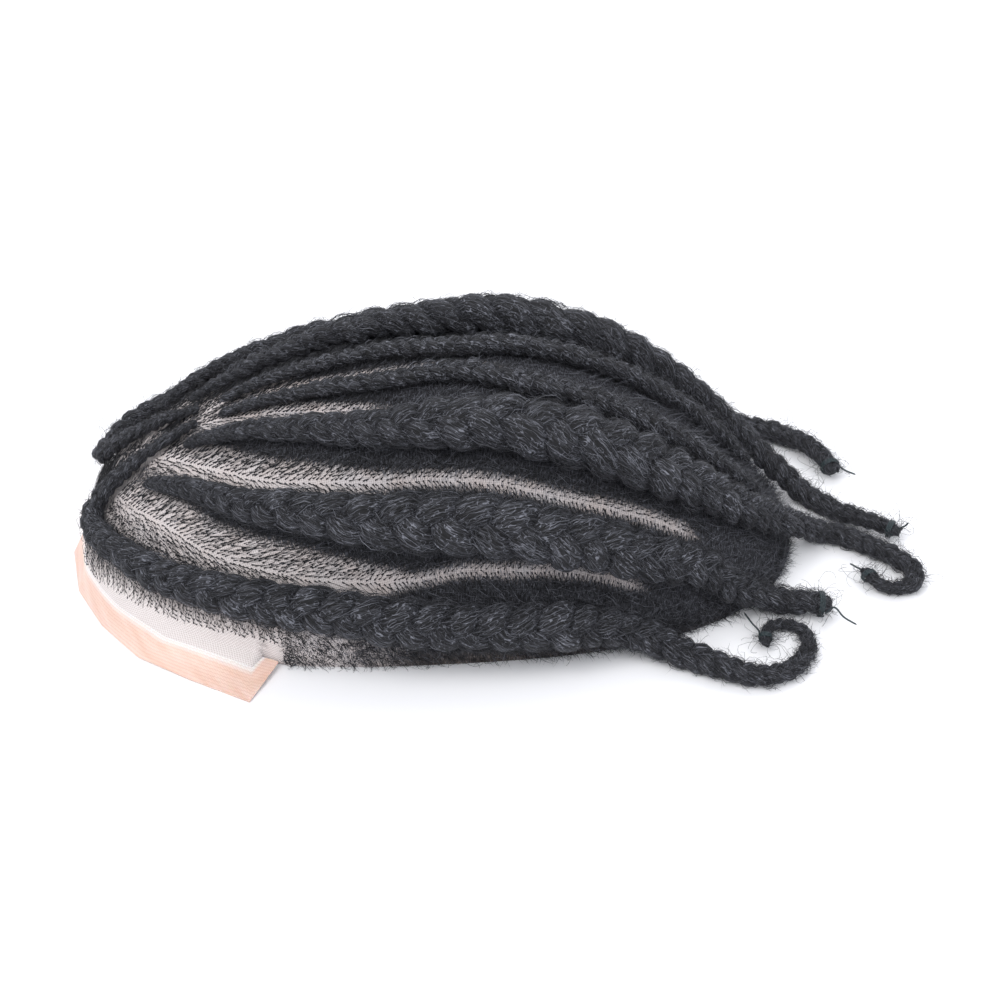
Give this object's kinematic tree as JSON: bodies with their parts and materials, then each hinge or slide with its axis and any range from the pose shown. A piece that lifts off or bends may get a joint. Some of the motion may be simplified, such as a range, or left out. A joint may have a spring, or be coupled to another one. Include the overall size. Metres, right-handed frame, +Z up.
{
  "type": "toupee",
  "caption": "Cornrow lace toupee: a thin lace dome with a tape edge in front, plaited braids lying over it from the hairline to the back, and loose tied tails.",
  "frame": {"origin": "bottom centre of the whole toupee's box, on the surface it rests on", "axes": "+Z up, the hairline faces -Y, the wearer's left is +X"},
  "size_m": [0.156, 0.2726, 0.0747],
  "materials": {
    "hair": "kinky black hair, matt with soft grey highlights",
    "lace": "fine off-white mesh with dark knots",
    "tape": "thin skin-tone poly-coated tape over mesh",
    "thread": "dark green sewing thread"
  },
  "bodies": {
    "root": {"lace_base": "lace", "tape_border": "tape", "braid_outer_left": "hair", "braid_outer_right": "hair", "braid_second_left": "hair", "braid_second_right": "hair", "braid_third_left": "hair", "braid_third_right": "hair", "braid_centre_left": "hair", "braid_centre_right": "hair", "thread_tie_outer_left": "thread", "thread_tie_outer_right": "thread", "thread_tie_second_left": "thread", "thread_tie_second_right": "thread", "thread_tie_third_left": "thread", "thread_tie_third_right": "thread"}
  },
  "joints": []
}
